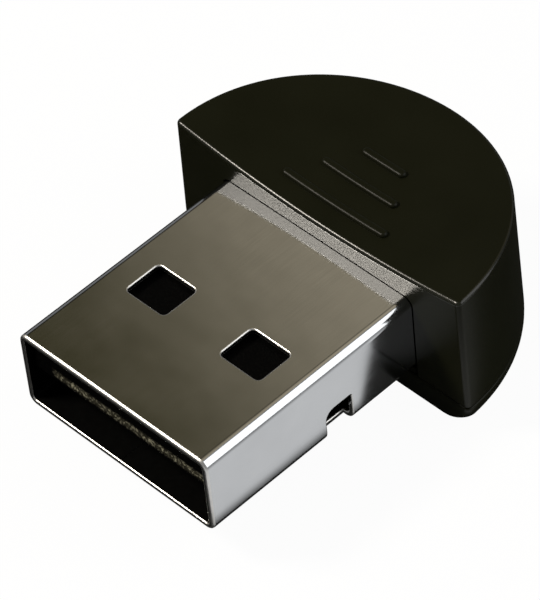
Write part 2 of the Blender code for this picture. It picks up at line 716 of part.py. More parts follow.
def populate_underside():
    """The radio chip under the board, a capacitor at each corner and two resistors."""
    resin = bpy.data.materials["black_epoxy_resin"]
    make_chip("radio_chip", (0.0, CHIP_FROM_FACE), CHIP_SIZE, -1, resin)
    beside = (CHIP_SIZE[0] + CAPACITOR_SIZE[0]) / 2 + PART_GAP
    brown_ceramic = bpy.data.materials["brown_ceramic"]
    for number, (column, row) in enumerate(((-1, -1), (1, -1), (-1, 1), (1, 1))):
        place = (column * beside, CHIP_FROM_FACE + row * CAPACITOR_SHIFT)
        make_end_capped(f"capacitor_{number + 1}", place, CAPACITOR_SIZE, -1, brown_ceramic)
    film = material("black_film_ceramic", (0.04, 0.04, 0.05), 0.5)
    for number, column in enumerate((-1, 1)):
        place = (column * RESISTOR_SPACING / 2, RESISTOR_FROM_FACE)
        make_end_capped(f"data_resistor_{number + 1}", place, RESISTOR_SIZE, -1, film)


def main():
    clear_scene()
    plastic = material("black_satin_plastic", (0.012, 0.012, 0.009), 0.42)
    steel = material("nickel_plated_steel", (0.62, 0.60, 0.56), 0.18, 1.0)
    insulator = material("black_insulator_plastic", (0.01, 0.01, 0.01), 0.5)
    gold = material("gold_plated_bronze", (0.83, 0.62, 0.28), 0.25, 1.0)
    laminate = material("green_laminate", (0.02, 0.16, 0.06), 0.45)
    make_top_cover(plastic)
    make_bottom_cover(plastic)
    make_plug_shell(steel)
    make_insulator(insulator)
    for name, x, setback in contact_places():
        make_contact(name, x, setback, gold)
    make_board(laminate)
    material("black_epoxy_resin", (0.02, 0.02, 0.02), 0.6)
    material("brown_ceramic", (0.30, 0.19, 0.11), 0.5)
    populate_top()
    populate_underside()


main()
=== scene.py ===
"""Small USB radio adapter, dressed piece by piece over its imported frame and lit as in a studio."""

from math import asin, cos, pi, radians, sin, sqrt, tan

import bmesh
import bpy
from mathutils import Matrix, Vector


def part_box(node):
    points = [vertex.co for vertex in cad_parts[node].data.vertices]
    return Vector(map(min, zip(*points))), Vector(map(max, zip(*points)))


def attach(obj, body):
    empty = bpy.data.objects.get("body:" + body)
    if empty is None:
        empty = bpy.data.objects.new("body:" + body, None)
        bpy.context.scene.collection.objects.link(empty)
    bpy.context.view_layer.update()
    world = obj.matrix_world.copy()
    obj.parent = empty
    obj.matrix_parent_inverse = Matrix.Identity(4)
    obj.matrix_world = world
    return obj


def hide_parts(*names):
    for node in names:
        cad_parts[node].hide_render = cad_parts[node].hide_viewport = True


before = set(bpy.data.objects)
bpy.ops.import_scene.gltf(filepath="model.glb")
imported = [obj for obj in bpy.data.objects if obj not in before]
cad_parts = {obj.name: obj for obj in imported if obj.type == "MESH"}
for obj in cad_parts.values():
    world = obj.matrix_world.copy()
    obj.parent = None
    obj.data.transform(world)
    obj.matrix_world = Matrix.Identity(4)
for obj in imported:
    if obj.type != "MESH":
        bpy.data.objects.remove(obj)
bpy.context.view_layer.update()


# The shell of the plug: a strip of 0.3 mm steel, punched flat with its windows, notches and
# legs, then folded round to a tube whose edges meet in a dovetail key underneath. It is
# plated with bright nickel. Sizes are in millimetres, and each mesh is scaled at its end.
MM = 0.001
MOUTH_Y = -11.1
SHELL_WIDTH = 12.0
SHELL_BASE = 2.0
SHELL_TOP = 6.5
SHEET = 0.3
BEND_RADIUS = 0.5
SHELL_LENGTH = 13.9
LEG_END = 15.7
WINDOW_SIDES = (1.75, 4.25)
WINDOW_ENDS = (5.0, 7.1)
WINDOW_CORNER = 0.25
NOTCH_ENDS = (7.2, 8.8)
NOTCH_TOP = 3.75
NOTCH_INNER = 5.35
NOTCH_CORNERS = (0.5, 0.125)
LEG_HEIGHTS = (2.5, 4.35)
SEAM_GAP = 0.03
KEY_DEPTH = 0.9
KEY_MIDDLE = 10.5
KEY_NECK_HALF = 0.4
KEY_HEAD_HALF = 0.65
CUT_EDGE = 0.07
MOUTH_EDGE = 0.14
SEAM_EDGE = 0.015
BEND_STEPS = 8
# A face is level from, and upright up to, these heights of its normal.
LEVEL_FROM = 0.9
UPRIGHT_TO = 0.1

top_half = SHELL_WIDTH / 2 - BEND_RADIUS
quarter = BEND_RADIUS * pi / 2
wall_start = top_half + quarter
wall_end = wall_start + SHELL_TOP - SHELL_BASE - 2 * BEND_RADIUS
base_start = wall_end + quarter
seam = base_start + top_half


# A Mix node's sockets for its two colours and for the result, which their names don't tell
# apart from its other sockets.
COLOUR_A = 6
COLOUR_B = 7
MIXED_COLOUR = 2


def colour(code):
    """An sRGB hex colour as linear red, green, blue and alpha."""
    channels = [int(code[i:i + 2], 16) / 255 for i in (0, 2, 4)]
    linear = [c / 12.92 if c <= 0.04045 else ((c + 0.055) / 1.055) ** 2.4 for c in channels]
    return (*linear, 1.0)


def add_node(tree, kind, inputs, **settings):
    """Adds a node, sets its options, and gives each input a value or a link."""
    made = tree.nodes.new(kind)
    for option, value in settings.items():
        setattr(made, option, value)
    for socket, value in inputs.items():
        if isinstance(value, bpy.types.NodeSocket):
            tree.links.new(value, made.inputs[socket])
        else:
            made.inputs[socket].default_value = value
    return made


def new_finish(name):
    """A material with no nodes yet, and its node tree."""
    made = bpy.data.materials.new(name)
    made.use_nodes = True
    made.node_tree.nodes.clear()
    return made, made.node_tree


def wall_length(height):
    """How far round the strip from the middle of the top a height on the side wall is."""
    return wall_start + SHELL_TOP - BEND_RADIUS - height


def base_length(x):
    """How far round the strip a place on the base is."""
    return base_start + top_half - x


def both_sides(spans):
    """Each (start, end) along the strip and its mirror image."""
    return [span for start, end in spans for span in ((start, end), (-end, -start))]


def cut_lines(bm, axis, places):
    """Cuts a line through every face at each place along an axis."""
    normal = Vector((0.0, 0.0, 0.0))
    normal[axis] = 1.0
    for place in places:
        everything = bm.verts[:] + bm.edges[:] + bm.faces[:]
        bmesh.ops.bisect_plane(
            bm, geom=everything, dist=1e-5, plane_co=normal * place, plane_no=normal
        )


def punched(bm, spans, ends):
    """Takes out the faces whose middles lie in any of these spans, between two ends."""
    gone = []
    for face in bm.faces:
        middle = face.calc_center_median()
        across = any(start < middle.x < end for start, end in spans)
        if across and ends[0] < middle.y < ends[1]:
            gone.append(face)
    bmesh.ops.delete(bm, geom=gone, context="FACES")


def rounded(bm, places, radius):
    """Rounds the edges that run through the sheet at these places."""
    corners = []
    for edge in bm.edges:
        ends = [vert.co for vert in edge.verts]
        upright = abs(ends[0].z - ends[1].z) > SHEET / 2
        if upright and any((ends[0].xy - Vector(place)).length < CUT_EDGE for place in places):
            corners.append(edge)
    bmesh.ops.bevel(
        bm, geom=corners, offset=radius, segments=5, profile=0.5, affect="EDGES", material=-1
    )


def folded(point):
    """Where a point of the flat strip lies once it is folded round."""
    along = abs(point.x)
    side = 1.0 if point.x >= 0 else -1.0
    depth = -point.z
    radius = BEND_RADIUS - depth
    if along <= top_half:
        x, z = along, SHELL_TOP - depth
    elif along < wall_start:
        turn = (along - top_half) / BEND_RADIUS
        x, z = top_half + radius * sin(turn), SHELL_TOP - BEND_RADIUS + radius * cos(turn)
    elif along <= wall_end:
        x, z = SHELL_WIDTH / 2 - depth, SHELL_TOP - BEND_RADIUS - (along - wall_start)
    elif along < base_start:
        turn = (along - wall_end) / BEND_RADIUS
        x, z = top_half + radius * cos(turn), SHELL_BASE + BEND_RADIUS - radius * sin(turn)
    else:
        x, z = base_start + top_half - along, SHELL_BASE + depth
    return Vector((side * x, MOUTH_Y + point.y, z))


strip = bmesh.new()
bmesh.ops.create_grid(strip, x_segments=1, y_segments=1, size=0.5)
edge_right = seam - SEAM_GAP / 2
edge_left = -seam - KEY_DEPTH + SEAM_GAP / 2
bmesh.ops.scale(strip, vec=(edge_right - edge_left, LEG_END, 1.0), verts=strip.verts)
bmesh.ops.translate(
    strip, vec=((edge_right + edge_left) / 2, LEG_END / 2, 0.0), verts=strip.verts
)
bends = []
for start in (top_half, wall_end):
    bends += [start + quarter * step / BEND_STEPS for step in range(BEND_STEPS + 1)]
base_window = (base_length(WINDOW_SIDES[1]), base_length(WINDOW_SIDES[0]))
notch = (wall_length(NOTCH_TOP), base_length(NOTCH_INNER))
leg = (wall_length(LEG_HEIGHTS[1]), wall_length(LEG_HEIGHTS[0]))
across = [*bends, *WINDOW_SIDES, *base_window, *notch, *leg, seam - SEAM_GAP / 2]
socket_depth = seam - KEY_DEPTH - SEAM_GAP / 2
cut_lines(strip, 0, sorted({*across, *(-place for place in across), socket_depth}))
half_gap = SEAM_GAP / 2
tab_ends = (KEY_MIDDLE - KEY_NECK_HALF + half_gap, KEY_MIDDLE + KEY_NECK_HALF - half_gap)
socket_ends = (KEY_MIDDLE - KEY_HEAD_HALF - half_gap, KEY_MIDDLE + KEY_HEAD_HALF + half_gap)
cut_lines(strip, 1, sorted((*WINDOW_ENDS, *NOTCH_ENDS, *tab_ends, *socket_ends, SHELL_LENGTH)))
punched(strip, both_sides([WINDOW_SIDES, base_window]), WINDOW_ENDS)
punched(strip, both_sides([notch]), NOTCH_ENDS)
beyond_legs = [(-leg[0], leg[0])] + both_sides([(leg[1], seam + KEY_DEPTH)])
punched(strip, beyond_legs, (SHELL_LENGTH, LEG_END))
tab_span = [(edge_left, -seam + half_gap)]
punched(strip, tab_span, (0.0, tab_ends[0]))
punched(strip, tab_span, (tab_ends[1], LEG_END))
punched(strip, [(socket_depth, seam)], socket_ends)
for vert in strip.verts:
    from_middle = vert.co.y - KEY_MIDDLE
    way = 1.0 if from_middle > 0 else -1.0
    at_socket = abs(abs(from_middle) - KEY_HEAD_HALF - half_gap) < CUT_EDGE
    if vert.co.x < edge_left + CUT_EDGE:
        vert.co.y = KEY_MIDDLE + way * (KEY_HEAD_HALF - half_gap)
    if vert.co.x > edge_right - CUT_EDGE and at_socket:
        vert.co.y = KEY_MIDDLE + way * (KEY_NECK_HALF + half_gap)
sheet = bmesh.ops.extrude_face_region(strip, geom=strip.faces[:])
lower = [item for item in sheet["geom"] if isinstance(item, bmesh.types.BMVert)]
bmesh.ops.translate(strip, vec=(0.0, 0.0, -SHEET), verts=lower)
bmesh.ops.recalc_face_normals(strip, faces=strip.faces)
window_corners = []
for start, end in both_sides([WINDOW_SIDES, base_window]):
    window_corners += [(place, level) for place in (start, end) for level in WINDOW_ENDS]
rounded(strip, window_corners, WINDOW_CORNER)
for radius, level in zip(NOTCH_CORNERS, NOTCH_ENDS):
    rounded(strip, [(side * notch[0], level) for side in (-1, 1)], radius)
leg_tips = [(side * place, LEG_END) for side in (-1, 1) for place in leg]
rounded(strip, leg_tips, SHEET)
# Faces inside the tube take the near-black plate of painted shade; the outer faces take the nickel.
for face in strip.faces:
    face.material_index = 1 if face.normal.z < -LEVEL_FROM else 0
sheared = []
mouth = []
butted = []
for edge in strip.edges:
    leans = sorted(abs(face.normal.z) for face in edge.link_faces)
    if leans[0] < UPRIGHT_TO and leans[1] > LEVEL_FROM:
        ends = [vert.co for vert in edge.verts]
        middle_y = (ends[0].y + ends[1].y) / 2
        between_ends = CUT_EDGE < middle_y < SHELL_LENGTH - CUT_EDGE
        if all(end.y < SHEET / 2 and end.z > -SHEET / 2 for end in ends):
            mouth.append(edge)
        elif between_ends and all(abs(end.x) > socket_depth - SEAM_GAP for end in ends):
            butted.append(edge)
        else:
            sheared.append(edge)
for edges, width in ((mouth, MOUTH_EDGE), (sheared, CUT_EDGE), (butted, SEAM_EDGE)):
    edges = [edge for edge in edges if edge.is_valid]
    eased = bmesh.ops.bevel(
        strip, geom=edges, offset=width, segments=3, profile=0.5, affect="EDGES", material=-1
    )
    for face in eased["faces"]:
        middle = face.calc_center_median()
        # Bevels inside the seam take the plate of painted shade as well; the other bevels take the
        # sheared edge.
        inside_seam = abs(middle.x) > seam - KEY_DEPTH - CUT_EDGE and middle.z < -SHEET / 2
        face.material_index = 1 if inside_seam and middle.y > SHEET else 2
for vert in strip.verts:
    vert.co = folded(vert.co)

# Bright nickel over rolled steel: a neutral grey mirror that shows the faint lines of the
# rolling, the slight waves of a thin sheet and a duller patch here and there.
nickel, tree = new_finish("bright_nickel_plate")
place = add_node(tree, "ShaderNodeTexCoord", {}).outputs["Object"]
rolling = add_node(tree, "ShaderNodeMapping", {"Vector": place, "Scale": (18.0, 0.7, 18.0)})
lines = add_node(tree, "ShaderNodeTexNoise", {
    "Vector": rolling.outputs["Vector"], "Scale": 1.0 / (1.2 * MM), "Detail": 4.0,
}).outputs["Fac"]
patches = add_node(tree, "ShaderNodeTexNoise", {
    "Vector": place, "Scale": 1.0 / (3.0 * MM), "Detail": 3.0,
}).outputs["Fac"]
mixed = add_node(tree, "ShaderNodeMath", {
    0: lines, 1: patches,
}, operation="MULTIPLY").outputs["Value"]
dull = add_node(tree, "ShaderNodeMapRange", {
    "Value": mixed, "From Min": 0.15, "From Max": 0.4, "To Min": 0.11, "To Max": 0.16,
}).outputs["Result"]
tone = add_node(tree, "ShaderNodeMix", {
    "Factor": patches, COLOUR_A: colour("a9abad"), COLOUR_B: colour("bbbdbf"),
}, data_type="RGBA").outputs[MIXED_COLOUR]
waves = add_node(tree, "ShaderNodeTexNoise", {
    "Vector": place, "Scale": 1.0 / (2.2 * MM), "Detail": 1.0,
}).outputs["Fac"]
wavy = add_node(tree, "ShaderNodeBump", {
    "Height": waves, "Strength": 0.5, "Distance": 0.012 * MM,
})
scored = add_node(tree, "ShaderNodeBump", {
    "Height": lines, "Strength": 0.15, "Distance": 0.0006 * MM,
    "Normal": wavy.outputs["Normal"],
})
metal = add_node(tree, "ShaderNodeBsdfPrincipled", {
    "Base Color": tone, "Metallic": 1.0, "Roughness": dull,
    "Normal": scored.outputs["Normal"],
})
add_node(tree, "ShaderNodeOutputMaterial", {"Surface": metal.outputs["BSDF"]})

# Inside the tube the plate is painted near black, as painted shade in the hollow of the tube. Along
# the sheared edges it is slightly rough.
linings = []
for name, dark, light, roughness in (
    ("painted_shade_inner_plate", "0d0d0d", "181817", 0.5),
    ("sheared_edge_plate", "b4b3b0", "cfcecb", 0.36),
):
    lining, tree = new_finish(name)
    place = add_node(tree, "ShaderNodeTexCoord", {}).outputs["Object"]
    spots = add_node(tree, "ShaderNodeTexNoise", {
        "Vector": place, "Scale": 1.0 / (0.3 * MM), "Detail": 3.0,
    }).outputs["Fac"]
    tone = add_node(tree, "ShaderNodeMix", {
        "Factor": spots, COLOUR_A: colour(dark), COLOUR_B: colour(light),
    }, data_type="RGBA").outputs[MIXED_COLOUR]
    metal = add_node(tree, "ShaderNodeBsdfPrincipled", {
        "Base Color": tone, "Metallic": 1.0, "Roughness": roughness,
    })
    add_node(tree, "ShaderNodeOutputMaterial", {"Surface": metal.outputs["BSDF"]})
    linings.append(lining)


def piece_of(bm, name, finishes, crease=32.0):
    """The finished object of a mesh in millimetres, smooth but for its creases."""
    bmesh.ops.recalc_face_normals(bm, faces=bm.faces)
    bmesh.ops.scale(bm, vec=(MM, MM, MM), verts=bm.verts)
    mesh = bpy.data.meshes.new(name)
    bm.to_mesh(mesh)
    bm.free()
    for finish in finishes:
        mesh.materials.append(finish)
    mesh.shade_smooth()
    mesh.set_sharp_from_angle(angle=radians(crease))
    made = bpy.data.objects.new(name, mesh)
    bpy.context.scene.collection.objects.link(made)
    return made


def level_flats(piece):
    """Lets the large flat faces set the shading of the edges that they share."""
    modifier = piece.modifiers.new("level_flats", "WEIGHTED_NORMAL")
    modifier.keep_sharp = True
    modifier.weight = 80


shell = piece_of(strip, "folded_shell", [nickel, *linings])
meeting = {}
for face in shell.data.polygons:
    for key in face.edge_keys:
        meeting.setdefault(key, set()).add(face.material_index)
for edge in shell.data.edges:
    if len(meeting[edge.key]) > 1:
        edge.use_edge_sharp = True
level_flats(shell)
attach(shell, "root")
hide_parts("plug_shell")


# The insulator: a tongue and the block behind it, moulded in one from glass-filled black plastic. It
# is pushed into the shell from behind. A rough grey line low on the front of the tongue is painted
# light: the band that the key lamp reaches under the shadow of the shell.
INSULATOR_EDGE = 0.05
# Where the band of painted light lies on the front of the tongue.
PAINTED_LIGHT_FRONT = -10.6
PAINTED_LIGHT_LOW = 4.62
PAINTED_LIGHT_HIGH = 4.98
PAINTED_LIGHT_SIDE = -4.25
PAINTED_LIGHT_FADE = 0.12
MERGE_WITHIN = 0.0005
FLAT_WITHIN = radians(1.0)
EASED_FROM = radians(40.0)


def eased_copy(node, name, finishes, edge_width):
    """A copy of a CAD node with its triangles merged to flat faces and its edges eased."""
    bm = bmesh.new()
    bm.from_mesh(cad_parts[node].data)
    bmesh.ops.scale(bm, vec=(1 / MM, 1 / MM, 1 / MM), verts=bm.verts)
    bmesh.ops.remove_doubles(bm, verts=bm.verts, dist=MERGE_WITHIN)
    bmesh.ops.dissolve_limit(
        bm, angle_limit=FLAT_WITHIN, verts=bm.verts, edges=bm.edges, delimit=set()
    )
    made = piece_of(bm, name, finishes)
    bevel = made.modifiers.new("eased_edges", "BEVEL")
    bevel.width = edge_width * MM
    bevel.segments = 2
    bevel.limit_method = "ANGLE"
    bevel.angle_limit = EASED_FROM
    level_flats(made)
    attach(made, "root")
    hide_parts(node)
    return made


glass_filled, tree = new_finish("glass_filled_black_plastic")
place = add_node(tree, "ShaderNodeTexCoord", {}).outputs["Object"]
fibres = add_node(tree, "ShaderNodeTexNoise", {
    "Vector": place, "Scale": 1.0 / (0.12 * MM), "Detail": 4.0,
}).outputs["Fac"]
speckle = add_node(tree, "ShaderNodeMapRange", {
    "Value": fibres, "From Min": 0.5, "From Max": 0.75,
}).outputs["Result"]
plain = add_node(tree, "ShaderNodeMix", {
    "Factor": speckle, COLOUR_A: colour("010101"), COLOUR_B: colour("060605"),
}, data_type="RGBA").outputs[MIXED_COLOUR]
axes = add_node(tree, "ShaderNodeSeparateXYZ", {"Vector": place})
# A band low on the front of the tongue is painted light grey, as painted light from the key lamp
# under the shell.
in_front = add_node(tree, "ShaderNodeMath", {
    0: axes.outputs["Y"], 1: PAINTED_LIGHT_FRONT * MM,
}, operation="LESS_THAN").outputs["Value"]
fade = PAINTED_LIGHT_FADE * MM
aside = add_node(tree, "ShaderNodeMapRange", {
    "Value": axes.outputs["X"],
    "From Min": PAINTED_LIGHT_SIDE * MM - fade, "From Max": PAINTED_LIGHT_SIDE * MM + fade,
}).outputs["Result"]
above = add_node(tree, "ShaderNodeMapRange", {
    "Value": axes.outputs["Z"],
    "From Min": PAINTED_LIGHT_LOW * MM - fade, "From Max": PAINTED_LIGHT_LOW * MM + fade,
}).outputs["Result"]
below = add_node(tree, "ShaderNodeMapRange", {
    "Value": axes.outputs["Z"],
    "From Min": PAINTED_LIGHT_HIGH * MM + fade, "From Max": PAINTED_LIGHT_HIGH * MM - fade,
}).outputs["Result"]
band = add_node(tree, "ShaderNodeMath", {
    0: above, 1: below,
}, operation="MULTIPLY").outputs["Value"]
begun = add_node(tree, "ShaderNodeMath", {
    0: band, 1: aside,
}, operation="MULTIPLY").outputs["Value"]
painted_light_band = add_node(tree, "ShaderNodeMath", {
    0: begun, 1: in_front,
}, operation="MULTIPLY").outputs["Value"]
painted_light_tone = add_node(tree, "ShaderNodeMix", {
    "Factor": speckle, COLOUR_A: colour("25241c"), COLOUR_B: colour("95937f"),
}, data_type="RGBA").outputs[MIXED_COLOUR]
tone = add_node(tree, "ShaderNodeMix", {
    "Factor": painted_light_band, COLOUR_A: plain, COLOUR_B: painted_light_tone,
}, data_type="RGBA").outputs[MIXED_COLOUR]
rough = add_node(tree, "ShaderNodeBump", {
    "Height": fibres, "Strength": 0.8, "Distance": 0.03 * MM,
})
shader = add_node(tree, "ShaderNodeBsdfPrincipled", {
    "Base Color": tone, "Roughness": 0.6, "Specular IOR Level": 0.03,
    "Normal": rough.outputs["Normal"],
})
add_node(tree, "ShaderNodeOutputMaterial", {"Surface": shader.outputs["BSDF"]})
insulator = eased_copy("plug_insulator", "moulded_insulator", [glass_filled], INSULATOR_EDGE)


# The four contacts: strips stamped from bronze and plated with gold, which lie in grooves
# under the tongue. The stamping leaves faint lines along them.
CONTACT_EDGE = 0.03

gold, tree = new_finish("gold_plate")
place = add_node(tree, "ShaderNodeTexCoord", {}).outputs["Object"]
stretched = add_node(tree, "ShaderNodeMapping", {"Vector": place, "Scale": (12.0, 1.0, 12.0)})
lines = add_node(tree, "ShaderNodeTexNoise", {
    "Vector": stretched.outputs["Vector"], "Scale": 1.0 / (0.6 * MM), "Detail": 3.0,
}).outputs["Fac"]
tone = add_node(tree, "ShaderNodeMix", {
    "Factor": lines, COLOUR_A: colour("d9a94e"), COLOUR_B: colour("f0cc7c"),
}, data_type="RGBA").outputs[MIXED_COLOUR]
dull = add_node(tree, "ShaderNodeMapRange", {
    "Value": lines, "From Min": 0.0, "From Max": 1.0, "To Min": 0.18, "To Max": 0.34,
}).outputs["Result"]
shader = add_node(tree, "ShaderNodeBsdfPrincipled", {
    "Base Color": tone, "Metallic": 1.0, "Roughness": dull,
})
add_node(tree, "ShaderNodeOutputMaterial", {"Surface": shader.outputs["BSDF"]})
for signal in ("vbus", "data_minus", "data_plus", "ground"):
    contact = eased_copy(f"contact_{signal}", f"gilt_contact_{signal}", [gold], CONTACT_EDGE)


# The circuit board: glass-epoxy laminate under green solder mask, which shows the weave of
# its glass a little, cut to the D of the head with holes for the pins of the base.
BOARD_EDGE = 0.04

laminate, tree = new_finish("green_solder_mask")
place = add_node(tree, "ShaderNodeTexCoord", {}).outputs["Object"]
weave = add_node(tree, "ShaderNodeTexChecker", {"Vector": place, "Scale": 1.0 / (0.4 * MM)})
tracks = add_node(tree, "ShaderNodeTexBrick", {
    "Vector": place, "Scale": 1.0 / (1.6 * MM), "Mortar Size": 0.06,
    "Color1": colour("0c4420"), "Color2": colour("0f4f27"), "Mortar": colour("17662f"),
})
tone = add_node(tree, "ShaderNodeMix", {
    "Factor": 0.12, COLOUR_A: tracks.outputs["Color"], COLOUR_B: weave.outputs["Color"],
}, data_type="RGBA", blend_type="SOFT_LIGHT").outputs[MIXED_COLOUR]
raised = add_node(tree, "ShaderNodeBump", {
    "Height": tracks.outputs["Fac"], "Strength": 0.6, "Distance": 0.03 * MM,
})
shader = add_node(tree, "ShaderNodeBsdfPrincipled", {
    "Base Color": tone, "Roughness": 0.35, "Normal": raised.outputs["Normal"],
})
add_node(tree, "ShaderNodeOutputMaterial", {"Surface": shader.outputs["BSDF"]})
board = eased_copy("circuit_board", "masked_board", [laminate], BOARD_EDGE)


# The chips: radio, memory and regulator, each a block of black epoxy with a dimple at its
# first pad. The mould leaves the resin matt and finely pitted.
CHIP_EDGE = 0.03

resin, tree = new_finish("matt_black_epoxy")
place = add_node(tree, "ShaderNodeTexCoord", {}).outputs["Object"]
pits = add_node(tree, "ShaderNodeTexNoise", {
    "Vector": place, "Scale": 1.0 / (0.05 * MM), "Detail": 3.0,
}).outputs["Fac"]
tone = add_node(tree, "ShaderNodeMix", {
    "Factor": pits, COLOUR_A: colour("1b1b1c"), COLOUR_B: colour("2a2a2b"),
}, data_type="RGBA").outputs[MIXED_COLOUR]
pitted = add_node(tree, "ShaderNodeBump", {
    "Height": pits, "Strength": 0.5, "Distance": 0.006 * MM,
})
shader = add_node(tree, "ShaderNodeBsdfPrincipled", {
    "Base Color": tone, "Roughness": 0.6, "Normal": pitted.outputs["Normal"],
})
add_node(tree, "ShaderNodeOutputMaterial", {"Surface": shader.outputs["BSDF"]})
for node in ("radio_chip", "memory_chip", "voltage_regulator"):
    chip = eased_copy(node, f"moulded_{node}", [resin], CHIP_EDGE)


# The crystal: a metal lid, brushed along its length and welded on a ceramic base, which is
# soldered to the board. It gives the radio its beat.
LID_EDGE = 0.03

lid_metal, tree = new_finish("brushed_lid_metal")
place = add_node(tree, "ShaderNodeTexCoord", {}).outputs["Object"]
stretched = add_node(tree, "ShaderNodeMapping", {"Vector": place, "Scale": (1.0, 15.0, 15.0)})
strokes = add_node(tree, "ShaderNodeTexNoise", {
    "Vector": stretched.outputs["Vector"], "Scale": 1.0 / (0.5 * MM), "Detail": 3.0,
}).outputs["Fac"]
tone = add_node(tree, "ShaderNodeMix", {
    "Factor": strokes, COLOUR_A: colour("a5a199"), COLOUR_B: colour("c9c5bb"),
}, data_type="RGBA").outputs[MIXED_COLOUR]
dull = add_node(tree, "ShaderNodeMapRange", {
    "Value": strokes, "From Min": 0.0, "From Max": 1.0, "To Min": 0.25, "To Max": 0.45,
}).outputs["Result"]
shader = add_node(tree, "ShaderNodeBsdfPrincipled", {
    "Base Color": tone, "Metallic": 1.0, "Roughness": dull,
})
add_node(tree, "ShaderNodeOutputMaterial", {"Surface": shader.outputs["BSDF"]})
crystal = eased_copy("crystal", "welded_crystal", [lid_metal], LID_EDGE)


# The small parts with a tinned cap at each end: fired ceramic or ferrite bodies, sawn from a
# slab, so each has a fine speckle. The caps are dipped in silver and tinned.
CERAMIC_EDGE = 0.015
END_CAP_SHARE = 0.3
END_CAP_MOST = 0.3

tin, tree = new_finish("matt_tin")
place = add_node(tree, "ShaderNodeTexCoord", {}).outputs["Object"]
grains = add_node(tree, "ShaderNodeTexNoise", {
    "Vector": place, "Scale": 1.0 / (0.08 * MM), "Detail": 2.0,
}).outputs["Fac"]
tone = add_node(tree, "ShaderNodeMix", {
    "Factor": grains, COLOUR_A: colour("aeaeab"), COLOUR_B: colour("d6d6d2"),
}, data_type="RGBA").outputs[MIXED_COLOUR]
shader = add_node(tree, "ShaderNodeBsdfPrincipled", {
    "Base Color": tone, "Metallic": 1.0, "Roughness": 0.4,
})
add_node(tree, "ShaderNodeOutputMaterial", {"Surface": shader.outputs["BSDF"]})
ceramics = (
    ("white_ceramic", ("d9d8d0", "c6c5bd"), ("chip_antenna",)),
    ("brown_ceramic", ("8a6a4c", "71543a"), (
        "matching_capacitor", "capacitor_1", "capacitor_2", "capacitor_3", "capacitor_4",
    )),
    ("dark_ferrite", ("35332f", "4a4743"), ("matching_inductor", "ferrite_bead")),
    ("black_film_ceramic", ("20202a", "2f2f3a"), ("data_resistor_1", "data_resistor_2")),
)
for slot, (first, second), nodes in ceramics:
    fired, tree = new_finish(f"fired_{slot}")
    place = add_node(tree, "ShaderNodeTexCoord", {}).outputs["Object"]
    grains = add_node(tree, "ShaderNodeTexNoise", {
        "Vector": place, "Scale": 1.0 / (0.06 * MM), "Detail": 3.0,
    }).outputs["Fac"]
    tone = add_node(tree, "ShaderNodeMix", {
        "Factor": grains, COLOUR_A: colour(first), COLOUR_B: colour(second),
    }, data_type="RGBA").outputs[MIXED_COLOUR]
    shader = add_node(tree, "ShaderNodeBsdfPrincipled", {
        "Base Color": tone, "Roughness": 0.45,
    })
    add_node(tree, "ShaderNodeOutputMaterial", {"Surface": shader.outputs["BSDF"]})
    for node in nodes:
        part = eased_copy(node, f"tinned_{node}", [fired, tin], CERAMIC_EDGE)
        low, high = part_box(node)
        size = high - low
        long_axis = 0 if size.x > size.y else 1
        middle = (low + high) / 2
        cap = min(END_CAP_SHARE * size[long_axis], END_CAP_MOST * MM)
        reach = size[long_axis] / 2 - cap
        for face in part.data.polygons:
            if abs(face.center[long_axis] - middle[long_axis]) > reach:
                face.material_index = 1


# The base of the head: a shallow tray of the same black plastic as the cover, with a round
# lower edge. Its lip goes up inside the cover and its two pins go through the board.
FACE_Y = 1.8
HEAD_WIDTH = 18.3
HEAD_DEPTH = 9.3
ARC_Y = 1.95
HEAD_CORNER = 0.25
BASE_CORNER = 0.9
INNER_CORNER = 0.2
WALL = 1.0
FLOOR = 1.0
PARTING_HEIGHT = 1.5
PARTING_GAP = 0.06
PARTING_EDGE = 0.08
FACE_EDGE = 0.3
# Keeps two rings that would share a plane a little apart, so that they join the right way.
SINK = 0.02
LIP_TOP = 2.4
LIP_INSET = 1.3
LIP_INSIDE = 1.9
HUB_Y = 5.5
PIN_X = 5.0325
PIN_Y = 6.264
PIN_RADIUS = 0.45
PIN_TOP = 5.05
SHOULDER_RADIUS = 1.05
SHOULDER_TOP = 2.5
GATE_HALF = 6.2
GATE_BACK = 4.3
GATE_TOP = 2.75
SILL_HALF = 5.8
SILL_FRONT = 1.9
SILL_BACK = 2.8
SILL_TOP = 1.8
HUB_SHARE = 0.5
CORNER_STEPS = 8
NOSE_STEPS = 72
FRONT_STEPS = 27
PARTING_STEPS = 3
WALL_STEPS = 14
RING_MERGE = 0.001


